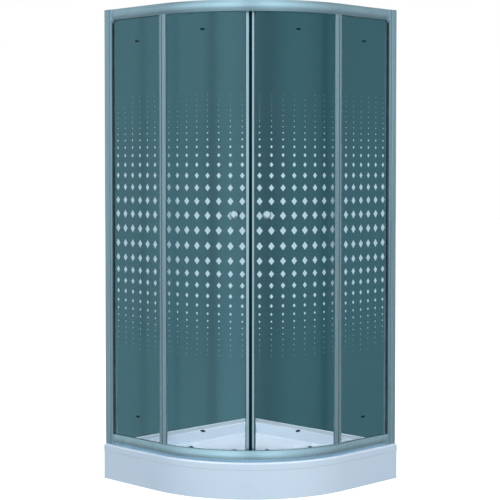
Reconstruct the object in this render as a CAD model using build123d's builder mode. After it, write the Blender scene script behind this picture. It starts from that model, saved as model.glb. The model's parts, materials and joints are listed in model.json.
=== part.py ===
from build123d import *
import math
import os

# Quadrant corner shower enclosure on a low acrylic tray.
# Frame of the part: millimetres, +Z up, floor at z = 0, origin under the middle
# of the 900 x 900 footprint. The room corner is at (-450, +450): one wall plane
# is x = -450, the other is y = +450. The curved front faces (+X, -Y).
# "right" is the +X side, "left" is the -Y side; the two halves mirror each
# other in the diagonal plane x + y = 0.

# ---------------------------------------------------------------- dimensions
SIDE = 900.0            # footprint along each wall
HALF = SIDE / 2
R_TRAY = 550.0          # plan radius of the tray front
CX, CY = HALF - R_TRAY, R_TRAY - HALF       # centre of every plan arc
TRAY_H = 150.0          # top of the tray rim
FRAME_H = 1875.0        # frame height above the rim
ZT = TRAY_H
ZTOP = TRAY_H + FRAME_H

SKIN = 5.0              # thickness of the tray's down-turned lip
LIP_Z = 120.0           # lower edge of that lip, where the apron starts
FLOOR_Z = 100.0         # basin floor, upper face
FLOOR_T = 8.0           # basin floor thickness
BASIN_IN = 80.0         # basin floor inset from the tray outline
WASTE = (70.0, -70.0)   # waste outlet centre

R_FACE = 539.0          # outer crest of the rails
R_SHOULDER = 533.0      # where the crowned rail face starts
R_BOX = 519.0           # inner wall of the rails' box section
RAIL_H = 46.0
RAIL_END = 395.0        # rails stop here, corner caps fill up to the jamb
CAP_T = 6.0
SLOT_LO, SLOT_HI = 425.5, 432.5     # glazing slot of the fixed panes (x)
SLOT_DEEP = 14.0
HOLLOW_H = RAIL_H - SLOT_DEEP - 6   # chamber in the rails' box section
HOLLOW_Z = 2 + HOLLOW_H / 2

GLASS_T = 5.0
FIX_LO = 426.5          # fixed pane, inner face (x)
FIX_HI = FIX_LO + GLASS_T
FIX_Y0, FIX_Y1 = 86.0, 413.0

STILE_X0, STILE_X1 = 424.0, 435.0
STILE_Y0, STILE_Y1 = 61.0, 97.0
JAMB_X0, JAMB_X1 = 414.3, 437.2
JAMB_Y0, JAMB_Y1 = 401.0, 440.0
CHAN_X0, CHAN_X1 = 412.5, 439.0
CHAN_Y0 = 424.0
CHAN_T = 1.5

R_DOOR = 487.0          # door glass, inner radius
DOOR_Z0 = ZT + 12.0
DOOR_Z1 = ZTOP - 8.0
DOOR_T0 = -43.595       # leading edge of the right door glass (degrees)
DOOR_T1 = 2.2           # trailing edge
LEAD_W = 15.0           # leading profile width
MAGNET_W = 5.6
CLOSE_GAP = 0.4         # half gap between the two magnet strips

R_WHEEL_PATH = 505.0    # inner face of the wheels
WHEEL_W = 6.0
WHEEL_R = 11.1
AXLE_R = 2.5
ROLLER_TS = {"lead": -37.0, "tail": -14.2}
Z_UP = ZTOP - 30.5      # upper wheel axis
Z_LOW = ZT + 15.5       # lower wheel axis
Z_CAP_LOW = ZT + 35.0   # release button of the lower carriers
BUTTON_R = 6.0

KNOB_T = -37.5
KNOB_Z = 1156.5

DIAGONAL = Plane(origin=(0, 0, 0), x_dir=(0, 0, 1), z_dir=(1, 1, 0))


# ------------------------------------------------------------------- helpers
def e_r(t):
    a = math.radians(t)
    return (math.cos(a), math.sin(a), 0.0)


def section_plane(t, z=0.0):
    """Vertical plane through the arc centre: local x is the radius, local y is up."""
    c, s, _ = e_r(t)
    return Plane(origin=(CX, CY, z), x_dir=(c, s, 0), z_dir=(s, -c, 0))


def out_plane(t, r, z):
    """Plane square to the radius at r: extrusions run outwards, local y is up."""
    c, s, _ = e_r(t)
    return Plane(origin=(CX + r * c, CY + r * s, z), x_dir=(-s, c, 0), z_dir=(c, s, 0))


def edge_plane(t, z):
    """Horizontal plane at the arc centre: local x is the radius at angle t."""
    c, s, _ = e_r(t)
    return Plane(origin=(CX, CY, z), x_dir=(c, s, 0), z_dir=(0, 0, 1))


def quadrant(inset, corner=0.0):
    """Tray outline, moved in by inset, with its three square corners rounded."""
    lo, hi = -HALF + inset, HALF - inset
    with BuildSketch() as s:
        with BuildLine():
            Line((lo, hi), (hi, hi))
            Line((hi, hi), (hi, CY))
            CenterArc((CX, CY), R_TRAY - inset, 0, -90)
            Line((CX, lo), (lo, lo))
            Line((lo, lo), (lo, hi))
        make_face()
        if corner:
            sharp = [v for v in s.vertices()
                     if (abs(v.X - lo) < 1 or abs(v.X - hi) < 1)
                     and (abs(v.Y - lo) < 1 or abs(v.Y - hi) < 1)]
            fillet(sharp, radius=corner)
    return s.sketch


def sector(r0, r1, t0, t1):
    """Ring segment about the arc centre, angles in degrees."""
    with BuildSketch() as s:
        with BuildLine():
            a = CenterArc((CX, CY), r0, t0, t1 - t0)
            b = CenterArc((CX, CY), r1, t0, t1 - t0)
            Line(a @ 0, b @ 0)
            Line(a @ 1, b @ 1)
        make_face()
    return s.sketch


def lower_rail_face():
    """Section of the lower rail: crowned box plus the wheel track inside it."""
    with BuildSketch() as s:
        with BuildLine():
            Line((494, 0), (R_SHOULDER, 0))
            ThreePointArc((R_SHOULDER, 0), (R_FACE, RAIL_H / 2), (R_SHOULDER, RAIL_H))
            Polyline((R_SHOULDER, RAIL_H), (R_BOX, RAIL_H), (R_BOX, 4), (496.5, 4),
                     (496.5, 9), (494, 9), (494, 0))
        make_face()
        with Locations((526, HOLLOW_Z)):
            Rectangle(10, HOLLOW_H, mode=Mode.SUBTRACT)
    return s.sketch


def upper_rail_face():
    """Section of the upper rail: crowned box, running ledge with lip, and cover."""
    with BuildSketch() as s:
        with BuildLine():
            Line((497, -RAIL_H), (R_SHOULDER, -RAIL_H))
            ThreePointArc((R_SHOULDER, -RAIL_H), (R_FACE, -RAIL_H / 2), (R_SHOULDER, 0))
            Polyline((R_SHOULDER, 0), (494, 0), (494, -3), (R_BOX, -3), (R_BOX, 4 - RAIL_H),
                     (499, 4 - RAIL_H), (499, 8 - RAIL_H), (497, 8 - RAIL_H), (497, -RAIL_H))
        make_face()
        with Locations((526, -HOLLOW_Z)):
            Rectangle(10, HOLLOW_H, mode=Mode.SUBTRACT)
    return s.sketch


ARC_AXIS = Axis((CX, CY, 0), (0, 0, -1))


def save(builder, name):
    builder.part.label = name
    export_step(builder.part, "parts/" + name + ".step")


os.makedirs("parts", exist_ok=True)

# ---------------------------------------------------------------------- tray
with BuildPart() as tray_shell:
    with BuildSketch(Plane.XY):
        add(quadrant(0))
    extrude(amount=TRAY_H)
    # rounded rim along the front only; the wall edges stay square
    rim = [e for e in tray_shell.faces().sort_by(Axis.Z)[-1].edges()
           if not (abs(e.center().Y - HALF) < 1 or abs(e.center().X + HALF) < 1)]
    fillet(rim, radius=8)
    # down-turned lip, open below
    with BuildSketch(Plane.XY):
        add(quadrant(0))
    extrude(amount=LIP_Z, mode=Mode.SUBTRACT)
    with BuildSketch(Plane.XY):
        add(quadrant(SKIN))
    extrude(amount=TRAY_H - 6, mode=Mode.SUBTRACT)
    # basin block, then the basin itself
    with BuildSketch(Plane.XY.offset(FLOOR_Z - FLOOR_T)):
        add(quadrant(BASIN_IN - 24, corner=70))
    extrude(amount=TRAY_H - 5 - (FLOOR_Z - FLOOR_T))
    with BuildSketch(Plane.XY.offset(FLOOR_Z)):
        add(quadrant(BASIN_IN, corner=60))
    extrude(amount=TRAY_H - FLOOR_Z, taper=-18, mode=Mode.SUBTRACT)
    lip = tray_shell.faces().filter_by(Plane.XY).sort_by(Axis.Z)[-1].inner_wires()[0].edges()
    fillet(lip, radius=6)
    floor_face = [f for f in tray_shell.faces().filter_by(Plane.XY)
                  if abs(f.center().Z - FLOOR_Z) < 0.01][0]
    fillet(floor_face.outer_wire().edges(), radius=14)
    # waste opening with a seat for its flange
    with BuildSketch(Plane.XY.offset(FLOOR_Z)):
        with Locations(WASTE):
            Circle(59)
    extrude(amount=-4, mode=Mode.SUBTRACT)
    with BuildSketch(Plane.XY.offset(FLOOR_Z)):
        with Locations(WASTE):
            Circle(44.5)
    extrude(amount=-FLOOR_T - 2, mode=Mode.SUBTRACT)

# board bonded under the rim, between the lip and the basin wall
with BuildPart() as rim_core:
    with BuildSketch(Plane.XY.offset(FLOOR_Z - FLOOR_T)):
        add(quadrant(SKIN + 0.2))
        add(quadrant(BASIN_IN - 24.2, corner=70), mode=Mode.SUBTRACT)
    extrude(amount=TRAY_H - 6.2 - (FLOOR_Z - FLOOR_T))

# front apron under the rim: straight end, bend, straight end
APRON_OUT = 0.2
APRON_T = 4.0
with BuildPart() as apron_panel:
    with BuildSketch(Plane.XY):
        with BuildLine():
            a0 = Line((HALF - APRON_OUT, HALF - 1), (HALF - APRON_OUT, CY))
            a1 = CenterArc((CX, CY), R_TRAY - APRON_OUT, 0, -90)
            a2 = Line((CX, -HALF + APRON_OUT), (-HALF + 1, -HALF + APRON_OUT))
            Line(a2 @ 1, (-HALF + 1, -HALF + APRON_OUT + APRON_T))
            Line((-HALF + 1, -HALF + APRON_OUT + APRON_T), (CX, -HALF + APRON_OUT + APRON_T))
            CenterArc((CX, CY), R_TRAY - APRON_OUT - APRON_T, -90, 90)
            Line((HALF - APRON_OUT - APRON_T, CY), (HALF - APRON_OUT - APRON_T, HALF - 1))
            Line((HALF - APRON_OUT - APRON_T, HALF - 1), a0 @ 0)
        make_face()
    extrude(amount=LIP_Z - 0.4)

# welded support frame of 25 x 25 x 3 mm steel angle, with two T-bars across
TUBE = 25.0
STEEL = 3.0
TUBE_Z = FLOOR_Z - FLOOR_T - TUBE
CORNERS = [(-400, 400), (400, 400), (400, 80), (-80, -400), (-400, -400)]
with BuildPart() as tray_frame:
    with BuildSketch(Plane.XY.offset(TUBE_Z)):
        with BuildLine():
            Polyline(*CORNERS, close=True)
        make_face()
        offset(amount=TUBE / 2, kind=Kind.INTERSECTION)
    extrude(amount=TUBE)
    with BuildSketch(Plane.XY.offset(TUBE_Z)):
        with BuildLine():
            Polyline(*CORNERS, close=True)
        make_face()
        offset(amount=-TUBE / 2, kind=Kind.INTERSECTION)
    extrude(amount=TUBE, mode=Mode.SUBTRACT)
    with BuildSketch(Plane.XY.offset(TUBE_Z)):
        with BuildLine():
            Polyline(*CORNERS, close=True)
        make_face()
        offset(amount=TUBE / 2 - STEEL, kind=Kind.INTERSECTION)
    extrude(amount=TUBE - STEEL, mode=Mode.SUBTRACT)
    with BuildSketch(Plane.XY.offset(TUBE_Z + TUBE - STEEL)):
        with Locations((-5, 60)):
            Rectangle(770, TUBE)
        with Locations((-60, 5)):
            Rectangle(TUBE, 770)
    extrude(amount=STEEL)
    with BuildSketch(Plane.XY.offset(TUBE_Z)):
        with Locations((-8, 60)):
            Rectangle(804, STEEL)
        with Locations((-60, 8)):
            Rectangle(STEEL, 804)
    extrude(amount=TUBE)

# straps from the frame to the apron
with BuildPart() as strap_right:
    with BuildSketch(Plane.XY.offset(TUBE_Z + 6)):
        with Locations(((412.5 + HALF - APRON_OUT - APRON_T) / 2, 300)):
            Rectangle(HALF - APRON_OUT - APRON_T - 412.5, 22)
    extrude(amount=STEEL)
    with BuildSketch(Plane.XY.offset(TUBE_Z - 14)):
        with Locations((HALF - APRON_OUT - APRON_T - 1.5, 300)):
            Rectangle(3, 22)
    extrude(amount=23)
BRACE = 320 / 2 ** 0.5 + TUBE / 2       # front face of the diagonal angle
APRON_IN = R_TRAY - APRON_OUT - APRON_T - 100 * 2 ** 0.5 - 0.2
with BuildPart() as strap_front:
    with BuildSketch(Plane(origin=(0, 0, TUBE_Z + 6), x_dir=(1, -1, 0), z_dir=(0, 0, 1))):
        with Locations(((BRACE + APRON_IN) / 2, 0)):
            Rectangle(APRON_IN - BRACE, 22)
    extrude(amount=STEEL)
with BuildPart() as apron_straps:
    add(strap_right.part)
    mirror(strap_right.part, about=DIAGONAL)
    add(strap_front.part)

FEET = [(-397, 397), (397, 397), (397, 95), (-95, -397), (-397, -397), (158, -158)]
with BuildPart() as tray_feet:
    with BuildSketch(Plane.XY):
        with Locations(*FEET):
            Circle(27)
    extrude(amount=6, taper=12)
    with BuildSketch(Plane.XY.offset(5)):
        with Locations(*FEET):
            Circle(6)
    extrude(amount=TUBE_Z + TUBE - STEEL - 5)

with BuildPart() as foot_lock_nuts:
    with BuildSketch(Plane.XY.offset(TUBE_Z + TUBE - STEEL - 10)):
        with Locations(*FEET):
            RegularPolygon(radius=9.5, side_count=6, major_radius=False)
            Circle(6.04, mode=Mode.SUBTRACT)
    extrude(amount=9.8)

# --------------------------------------------------------------------- waste
WX, WY = WASTE
with BuildPart() as waste_flange:
    with BuildSketch(Plane.XY.offset(FLOOR_Z - 4)):
        with Locations(WASTE):
            Circle(57)
            Circle(40, mode=Mode.SUBTRACT)
    extrude(amount=4)
    fillet(waste_flange.edges().filter_by(GeomType.CIRCLE).group_by(Axis.Z)[-1], radius=1.5)
    with BuildSketch(Plane.XY.offset(FLOOR_Z - 20)):
        with Locations(WASTE):
            Circle(43)
            Circle(40, mode=Mode.SUBTRACT)
            Rectangle(81, 5)
            Rectangle(5, 81)
            Circle(9)
            Circle(5.1, mode=Mode.SUBTRACT)
    extrude(amount=16)

with BuildPart() as waste_cover:
    with BuildSketch(Plane.XY.offset(103)):
        with Locations(WASTE):
            Circle(52)
    extrude(amount=6)
    fillet(waste_cover.edges().group_by(Axis.Z)[-1], radius=4.5)
    with BuildSketch(Plane.XY.offset(FLOOR_Z - 18)):
        with Locations(WASTE):
            Circle(5)
    extrude(amount=22)

PIPE_Z = 34.0
with BuildPart() as waste_trap:
    with BuildSketch(Plane.XY.offset(12)):
        with Locations(WASTE):
            Circle(54)
    extrude(amount=FLOOR_Z - FLOOR_T - 12)
    fillet(waste_trap.faces().sort_by(Axis.Z)[0].edges(), radius=8)
    # outlet pipe towards the left wall, ending in a 40 mm spigot
    with BuildSketch(Plane(origin=(WX, WY, PIPE_Z), x_dir=(0, -1, 0), z_dir=(-1, 0, 0))):
        Circle(18.5)
    extrude(amount=WX + 400)
    with BuildSketch(Plane(origin=(-385, WY, PIPE_Z), x_dir=(0, -1, 0), z_dir=(-1, 0, 0))):
        Circle(20)
    extrude(amount=45)
    with BuildSketch(Plane.XY.offset(16)):
        with Locations(WASTE):
            Circle(50)
    extrude(amount=62, mode=Mode.SUBTRACT)
    with BuildSketch(Plane.XY.offset(78)):
        with Locations(WASTE):
            Circle(43.1)
    extrude(amount=20, mode=Mode.SUBTRACT)
    with BuildSketch(Plane(origin=(WX - 45, WY, PIPE_Z), x_dir=(0, -1, 0), z_dir=(-1, 0, 0))):
        Circle(16.5)
    extrude(amount=500, mode=Mode.SUBTRACT)

# --------------------------------------------------------------------- rails
LEG = RAIL_END - CY


def glazing_cut(z0):
    return ((SLOT_LO + SLOT_HI) / 2, (84 + RAIL_END + CAP_T + 1) / 2, z0 + SLOT_DEEP / 2)


with BuildPart() as bottom_rail:
    with BuildSketch(section_plane(0, ZT)):
        add(lower_rail_face())
    revolve(axis=ARC_AXIS, revolution_arc=90)
    with BuildSketch(section_plane(0, ZT)):
        add(lower_rail_face())
    extrude(amount=-LEG)
    with BuildSketch(section_plane(-90, ZT)):
        add(lower_rail_face())
    extrude(amount=LEG)
    # glazing slots in the two straight ends
    with Locations(glazing_cut(ZT + RAIL_H - SLOT_DEEP)):
        Box(SLOT_HI - SLOT_LO, RAIL_END + CAP_T + 1 - 84, SLOT_DEEP, mode=Mode.SUBTRACT)
    gx, gy, gz = glazing_cut(ZT + RAIL_H - SLOT_DEEP)
    with Locations((-gy, -gx, gz)):
        Box(RAIL_END + CAP_T + 1 - 84, SLOT_HI - SLOT_LO, SLOT_DEEP, mode=Mode.SUBTRACT)

with BuildPart() as top_rail:
    with BuildSketch(section_plane(0, ZTOP)):
        add(upper_rail_face())
    revolve(axis=ARC_AXIS, revolution_arc=90)
    with BuildSketch(section_plane(0, ZTOP)):
        add(upper_rail_face())
    extrude(amount=-LEG)
    with BuildSketch(section_plane(-90, ZTOP)):
        add(upper_rail_face())
    extrude(amount=LEG)
    with Locations(glazing_cut(ZTOP - RAIL_H)):
        Box(SLOT_HI - SLOT_LO, RAIL_END + CAP_T + 1 - 84, SLOT_DEEP, mode=Mode.SUBTRACT)
    gx, gy, gz = glazing_cut(ZTOP - RAIL_H)
    with Locations((-gy, -gx, gz)):
        Box(RAIL_END + CAP_T + 1 - 84, SLOT_HI - SLOT_LO, SLOT_DEEP, mode=Mode.SUBTRACT)

# plastic corner pieces between rail ends and jambs, with a tongue into the rail
WEB_R = 22.0
with BuildPart() as caps_right:
    with BuildSketch(Plane(origin=(CX, RAIL_END, ZT), x_dir=(1, 0, 0), z_dir=(0, -1, 0))):
        add(lower_rail_face())
        with Locations((526, HOLLOW_Z)):
            Rectangle(10, HOLLOW_H)
        with Locations(((SLOT_LO + SLOT_HI) / 2 - CX, RAIL_H - SLOT_DEEP / 2)):
            Rectangle(SLOT_HI - SLOT_LO, SLOT_DEEP, mode=Mode.SUBTRACT)
    extrude(amount=-CAP_T)
    with BuildSketch(Plane(origin=(CX, RAIL_END, ZT), x_dir=(1, 0, 0), z_dir=(0, -1, 0))):
        with Locations((526, HOLLOW_Z)):
            Rectangle(9.4, HOLLOW_H - 0.6)
    extrude(amount=14)
    with BuildSketch(Plane(origin=(CX, RAIL_END, ZTOP), x_dir=(1, 0, 0), z_dir=(0, -1, 0))):
        add(upper_rail_face())
        with Locations((526, -HOLLOW_Z)):
            Rectangle(10, HOLLOW_H)
        with Locations(((SLOT_LO + SLOT_HI) / 2 - CX, -RAIL_H + SLOT_DEEP / 2)):
            Rectangle(SLOT_HI - SLOT_LO, SLOT_DEEP, mode=Mode.SUBTRACT)
    extrude(amount=-CAP_T)
    with BuildSketch(Plane(origin=(CX, RAIL_END, ZTOP), x_dir=(1, 0, 0), z_dir=(0, -1, 0))):
        with Locations((526, -HOLLOW_Z)):
            Rectangle(9.4, HOLLOW_H - 0.6)
    extrude(amount=14)
    # rounded web in the corner under the upper rail
    with BuildSketch(Plane(origin=(433, 0, 0), x_dir=(0, 1, 0), z_dir=(1, 0, 0))):
        with BuildLine():
            Line((JAMB_Y0, ZTOP - RAIL_H), (JAMB_Y0 - WEB_R, ZTOP - RAIL_H))
            RadiusArc((JAMB_Y0 - WEB_R, ZTOP - RAIL_H), (JAMB_Y0, ZTOP - RAIL_H - WEB_R), WEB_R)
            Line((JAMB_Y0, ZTOP - RAIL_H - WEB_R), (JAMB_Y0, ZTOP - RAIL_H))
        make_face()
    extrude(amount=3.5)

with BuildPart() as rail_corner_caps:
    add(caps_right.part)
    mirror(caps_right.part, about=DIAGONAL)

# ------------------------------------------------- uprights of the right side
SCREW_Z = [ZT + 200, ZT + FRAME_H / 2, ZTOP - 200]
SCREW_Y = 433.0
WALL_Z = [ZT + 120, ZT + FRAME_H / 2 + 60, ZTOP - 120]

with BuildPart() as wall_channel_right:
    with BuildSketch(Plane.XY.offset(ZT)) as cs:
        with Locations(((CHAN_X0 + CHAN_X1) / 2, (CHAN_Y0 + HALF) / 2)):
            Rectangle(CHAN_X1 - CHAN_X0, HALF - CHAN_Y0)
        with Locations(((CHAN_X0 + CHAN_X1) / 2, (CHAN_Y0 + HALF - CHAN_T) / 2 - 1)):
            Rectangle(CHAN_X1 - CHAN_X0 - 2 * CHAN_T, HALF - CHAN_T - CHAN_Y0 + 2,
                      mode=Mode.SUBTRACT)
    extrude(amount=FRAME_H)
    # screw holes to the room wall
    with BuildSketch(Plane(origin=(0, HALF + 1, 0), x_dir=(-1, 0, 0), z_dir=(0, 1, 0))):
        with Locations(*[(-426, z) for z in WALL_Z]):
            Circle(3)
    extrude(amount=-4, mode=Mode.SUBTRACT)
    # screw holes in the leg that faces the cabin
    with BuildSketch(Plane(origin=(CHAN_X0 - 1, 0, 0), x_dir=(0, 1, 0), z_dir=(1, 0, 0))):
        with Locations(*[(SCREW_Y, z) for z in SCREW_Z]):
            Circle(2.05)
    extrude(amount=4, mode=Mode.SUBTRACT)

with BuildPart() as jamb_right:
    with BuildSketch(Plane.XY.offset(ZT)) as js:
        with Locations(((JAMB_X0 + JAMB_X1) / 2, (JAMB_Y0 + JAMB_Y1) / 2)):
            Rectangle(JAMB_X1 - JAMB_X0, JAMB_Y1 - JAMB_Y0)
        fillet([v for v in js.vertices() if v.Y < JAMB_Y0 + 1], radius=1.5)
        with Locations(((SLOT_LO + SLOT_HI) / 2, JAMB_Y0 + SLOT_DEEP / 2)):
            Rectangle(SLOT_HI - SLOT_LO, SLOT_DEEP, mode=Mode.SUBTRACT)
        with Locations(((JAMB_X0 + JAMB_X1) / 2, 427.5)):
            Rectangle(JAMB_X1 - JAMB_X0 - 4, 21, mode=Mode.SUBTRACT)
        with Locations((JAMB_X1, 418.5)):
            Rectangle(1.2, 2.4, mode=Mode.SUBTRACT)
    extrude(amount=FRAME_H)
    with BuildSketch(Plane(origin=(JAMB_X0 - 1, 0, 0), x_dir=(0, 1, 0), z_dir=(1, 0, 0))):
        with Locations(*[(SCREW_Y, z) for z in SCREW_Z]):
            Circle(2.05)
    extrude(amount=4, mode=Mode.SUBTRACT)

with BuildPart() as stile_right:
    with BuildSketch(Plane.XY.offset(ZT + RAIL_H)) as ss:
        # glazing channel, with a cover strip that reaches past the door's rear edge
        with Locations(((STILE_X0 + STILE_X1) / 2, (76 + STILE_Y1) / 2)):
            Rectangle(STILE_X1 - STILE_X0, STILE_Y1 - 76)
        with Locations((STILE_X1 - 1.1, (STILE_Y0 + STILE_Y1) / 2)):
            Rectangle(2.2, STILE_Y1 - STILE_Y0)
        with Locations(((SLOT_LO + SLOT_HI) / 2, STILE_Y1 - 6.5)):
            Rectangle(SLOT_HI - SLOT_LO, 13, mode=Mode.SUBTRACT)
        with Locations((STILE_X1, 86)):
            Rectangle(2.8, 5, mode=Mode.SUBTRACT)
        with Locations((428.7, 79.8)):
            Rectangle(5.4, 4.4, mode=Mode.SUBTRACT)
    extrude(amount=FRAME_H - 2 * RAIL_H)

with BuildPart() as fixed_glass_right:
    with Locations(((FIX_LO + FIX_HI) / 2, (FIX_Y0 + FIX_Y1) / 2, ZT + FRAME_H / 2)):
        Box(GLASS_T, FIX_Y1 - FIX_Y0, FRAME_H - 2 * (RAIL_H - SLOT_DEEP + 2))
    chamfer(fixed_glass_right.edges().filter_by(Axis.X), length=0.8)

GX = (SLOT_LO + SLOT_HI) / 2
with BuildPart() as fixed_gasket_right:
    # upright strips in the jamb and in the stile
    with BuildSketch(Plane.XY.offset(ZT + RAIL_H)):
        with Locations((GX, (398.5 + 414.8) / 2)):
            Rectangle(6.8, 16.3)
        with Locations((GX, (84.2 + 99.5) / 2)):
            Rectangle(6.8, 15.3)
        with Locations((GX, (FIX_Y0 + FIX_Y1) / 2)):
            Rectangle(GLASS_T + 0.04, FIX_Y1 - FIX_Y0 + 0.04, mode=Mode.SUBTRACT)
    extrude(amount=FRAME_H - 2 * RAIL_H)
    # strips along the two rails
    with BuildSketch(Plane(origin=(0, 99.5, 0), x_dir=(1, 0, 0), z_dir=(0, -1, 0))):
        with Locations((GX, ZT + RAIL_H - 5.9)):
            Rectangle(6.8, 15.8)
        with Locations((GX, ZTOP - RAIL_H + 5.9)):
            Rectangle(6.8, 15.8)
        with Locations((GX, ZT + FRAME_H / 2)):
            Rectangle(GLASS_T + 0.04, FRAME_H - 2 * (RAIL_H - SLOT_DEEP + 2) + 0.04,
                      mode=Mode.SUBTRACT)
    extrude(amount=-(398.5 - 99.5))

with BuildPart() as screws_right:
    with BuildSketch(Plane(origin=(CHAN_X0 + 6, 0, 0), x_dir=(0, -1, 0), z_dir=(-1, 0, 0))):
        with Locations(*[(-SCREW_Y, z) for z in SCREW_Z]):
            Circle(2)
    extrude(amount=6)
    with BuildSketch(Plane(origin=(CHAN_X0, 0, 0), x_dir=(0, -1, 0), z_dir=(-1, 0, 0))):
        with Locations(*[(-SCREW_Y, z) for z in SCREW_Z]):
            Circle(4.2)
    extrude(amount=2.6, taper=14)
    with BuildSketch(Plane(origin=(CHAN_X0 - 2.6, 0, 0), x_dir=(0, -1, 0), z_dir=(-1, 0, 0))):
        with Locations(*[(-SCREW_Y, z) for z in SCREW_Z]):
            Rectangle(4.4, 0.9)
            Rectangle(0.9, 4.4)
    extrude(amount=-1.2, mode=Mode.SUBTRACT)

with BuildPart() as jamb_screws:
    add(screws_right.part)
    mirror(screws_right.part, about=DIAGONAL)

with BuildPart() as wall_channel_left:
    mirror(wall_channel_right.part, about=DIAGONAL)
with BuildPart() as jamb_left:
    mirror(jamb_right.part, about=DIAGONAL)
with BuildPart() as stile_left:
    mirror(stile_right.part, about=DIAGONAL)
with BuildPart() as fixed_glass_left:
    mirror(fixed_glass_right.part, about=DIAGONAL)
with BuildPart() as fixed_gasket_left:
    mirror(fixed_gasket_right.part, about=DIAGONAL)

# rubber stops on the upper ledge, where the rear wheels end their run
with BuildPart() as stop_right:
    with BuildSketch(Plane.XY.offset(ZTOP - RAIL_H + 4)):
        with Locations((409.5, 249)):
            RectangleRounded(13, 12, 2.5)
    extrude(amount=20)
with BuildPart() as door_stops:
    add(stop_right.part)
    mirror(stop_right.part, about=DIAGONAL)

# ------------------------------------------------------------ right-hand door
with BuildPart() as door_glass_right:
    with BuildSketch(Plane.XY.offset(DOOR_Z0)):
        add(sector(R_DOOR, R_DOOR + GLASS_T, DOOR_T0, DOOR_T1))
    extrude(amount=DOOR_Z1 - DOOR_Z0)
    for t in ROLLER_TS.values():
        with BuildSketch(out_plane(t, R_DOOR - 5, Z_UP)):
            Circle(6.2)
        extrude(amount=GLASS_T + 10, mode=Mode.SUBTRACT)
        with BuildSketch(out_plane(t, R_DOOR - 5, Z_CAP_LOW)):
            with Locations((-10, -4), (10, -4)):
                Circle(2.9)
        extrude(amount=GLASS_T + 10, mode=Mode.SUBTRACT)
    with BuildSketch(out_plane(KNOB_T, R_DOOR - 5, KNOB_Z)):
        Circle(4.6)
    extrude(amount=GLASS_T + 10, mode=Mode.SUBTRACT)

LEAD_Y0 = CLOSE_GAP + MAGNET_W
with BuildPart() as door_lead_profile_right:
    with BuildSketch(edge_plane(-45, DOOR_Z0)) as ls:
        with Locations((488.8, LEAD_Y0 + LEAD_W / 2)):
            Rectangle(15.2, LEAD_W)
        fillet([v for v in ls.vertices() if v.X > CX], radius=2.6)
        with Locations((489.1, LEAD_Y0 + 5 + 6)):
            Rectangle(6.4, 12, mode=Mode.SUBTRACT)
    extrude(amount=DOOR_Z1 - DOOR_Z0)

with BuildPart() as magnet_plain:
    with BuildSketch(edge_plane(-45, DOOR_Z0)) as ms:
        with Locations((489, CLOSE_GAP + MAGNET_W / 2)):
            Rectangle(10.5, MAGNET_W)
        fillet(ms.vertices(), radius=1.2)
    extrude(amount=DOOR_Z1 - DOOR_Z0)

# the right strip has a lip behind the joint, so that no gap shows through
with BuildPart() as magnet_strip_right:
    add(magnet_plain.part)
    with BuildSketch(edge_plane(-45, DOOR_Z0)):
        with Locations((483.05, 3.6)):
            Rectangle(3.1, 4)
        with Locations((482.25, 0.8)):
            Rectangle(1.5, 9.6)
    extrude(amount=DOOR_Z1 - DOOR_Z0)

TAIL_T = 2.63
with BuildPart() as door_tail_profile_right:
    with BuildSketch(edge_plane(TAIL_T, DOOR_Z0)) as ts:
        with Locations((488.75, -7)):
            Rectangle(11.5, 14)
        fillet(ts.vertices(), radius=1.5)
        with Locations((489.3, -9)):
            Rectangle(6.6, 12, mode=Mode.SUBTRACT)
    extrude(amount=DOOR_Z1 - DOOR_Z0)

with BuildPart() as tail_seal_right:
    with BuildSketch(edge_plane(TAIL_T, ZT + RAIL_H + 3)) as fs:
        with Locations((509.8, -12.6)):
            Rectangle(30, 1.6)
        with Locations((495.4, -11.4)):
            Rectangle(1.8, 5)
    extrude(amount=FRAME_H - 2 * RAIL_H - 6)

with BuildPart() as drip_seal_right:
    with BuildSketch(Plane.XY.offset(ZT + 3.5)):
        add(sector(484.2, 486.9, -42.2, 0.6))
    extrude(amount=14.5)

knob_axis = Axis((CX, CY, KNOB_Z), e_r(KNOB_T))
with BuildPart() as knob_outer_right:
    with BuildSketch(section_plane(KNOB_T, KNOB_Z)):
        with BuildLine():
            Polyline((474, 0), (474, 3.4), (492.3, 3.4), (492.3, 12), (493.6, 12.6))
            Spline((493.6, 12.6), (497.5, 9.2), (502, 8.6), (506.5, 12.8), (510.5, 16.6),
                   (514.5, 16.6), (517.6, 13.2), (519.2, 7.2), (519.8, 0),
                   tangents=((0.6, 0.4), (0, -1)))
            Line((519.8, 0), (474, 0))
        make_face()
    revolve(axis=knob_axis, revolution_arc=360)

with BuildPart() as knob_inner_right:
    with BuildSketch(section_plane(KNOB_T, KNOB_Z)):
        with BuildLine():
            Polyline((486.6, 3.44), (486.6, 12), (485.3, 12.6))
            Spline((485.3, 12.6), (481.4, 9.2), (476.9, 8.6), (472.4, 12.8), (468.4, 16.6),
                   (464.4, 16.6), (461.3, 13.2), (459.7, 7.2), (459.1, 0),
                   tangents=((-0.6, 0.4), (0, -1)))
            Polyline((459.1, 0), (473, 0), (473, 3.44), (486.6, 3.44))
        make_face()
    revolve(axis=knob_axis, revolution_arc=360)

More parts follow.
